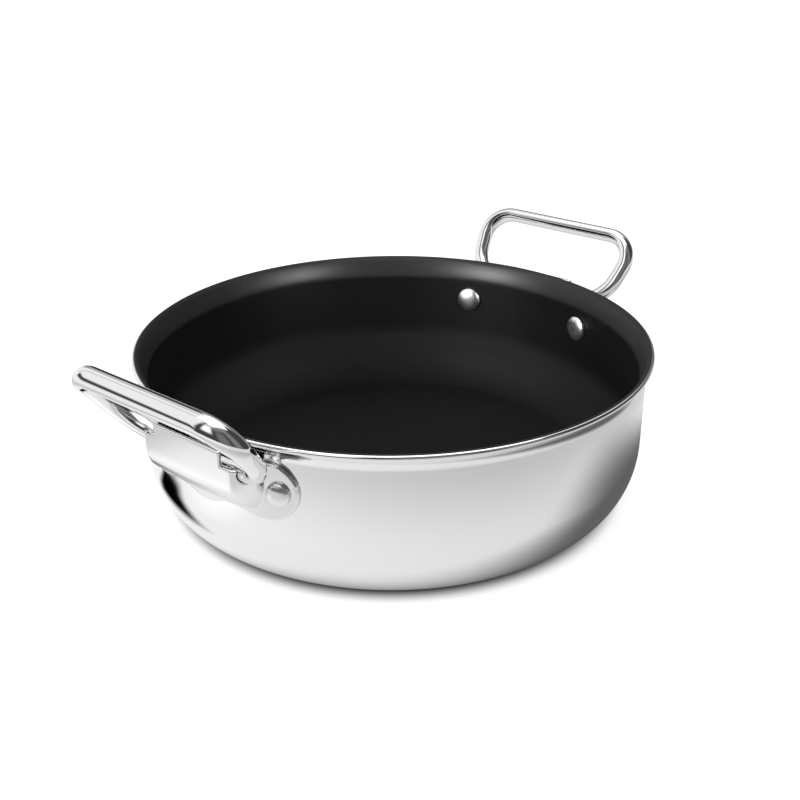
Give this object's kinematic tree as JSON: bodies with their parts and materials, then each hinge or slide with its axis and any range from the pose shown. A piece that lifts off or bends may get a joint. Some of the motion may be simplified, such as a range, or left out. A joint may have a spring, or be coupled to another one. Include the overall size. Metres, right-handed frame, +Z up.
{
  "type": "braiser",
  "caption": "Low, round polished-steel braising pan with a rounded foot, a flared lip, a dark non-stick inside and ring handles held to the wall by riveted pressed-sheet brackets.",
  "frame": {"origin": "centre of the flat base, on the surface the pan stands on", "axes": "+X to the right handle, -X to the left handle, +Y across the handles, +Z up along the pan's axis"},
  "size_m": [0.3482, 0.28, 0.1125],
  "materials": {
    "polished_wall": "mirror-polished stainless steel",
    "nonstick": "satin black non-stick",
    "bracket_steel": "polished pressed stainless steel",
    "ring_steel": "polished bent stainless tube",
    "rivet_steel": "polished stainless rivet"
  },
  "bodies": {
    "root": {"pan_body": "polished_wall", "nonstick_coating": "nonstick", "right_handle_bracket": "bracket_steel", "right_handle_ring": "ring_steel", "right_rivet_front": "rivet_steel", "right_rivet_back": "rivet_steel", "left_handle_bracket": "bracket_steel", "left_handle_ring": "ring_steel", "left_rivet_front": "rivet_steel", "left_rivet_back": "rivet_steel"}
  },
  "joints": []
}
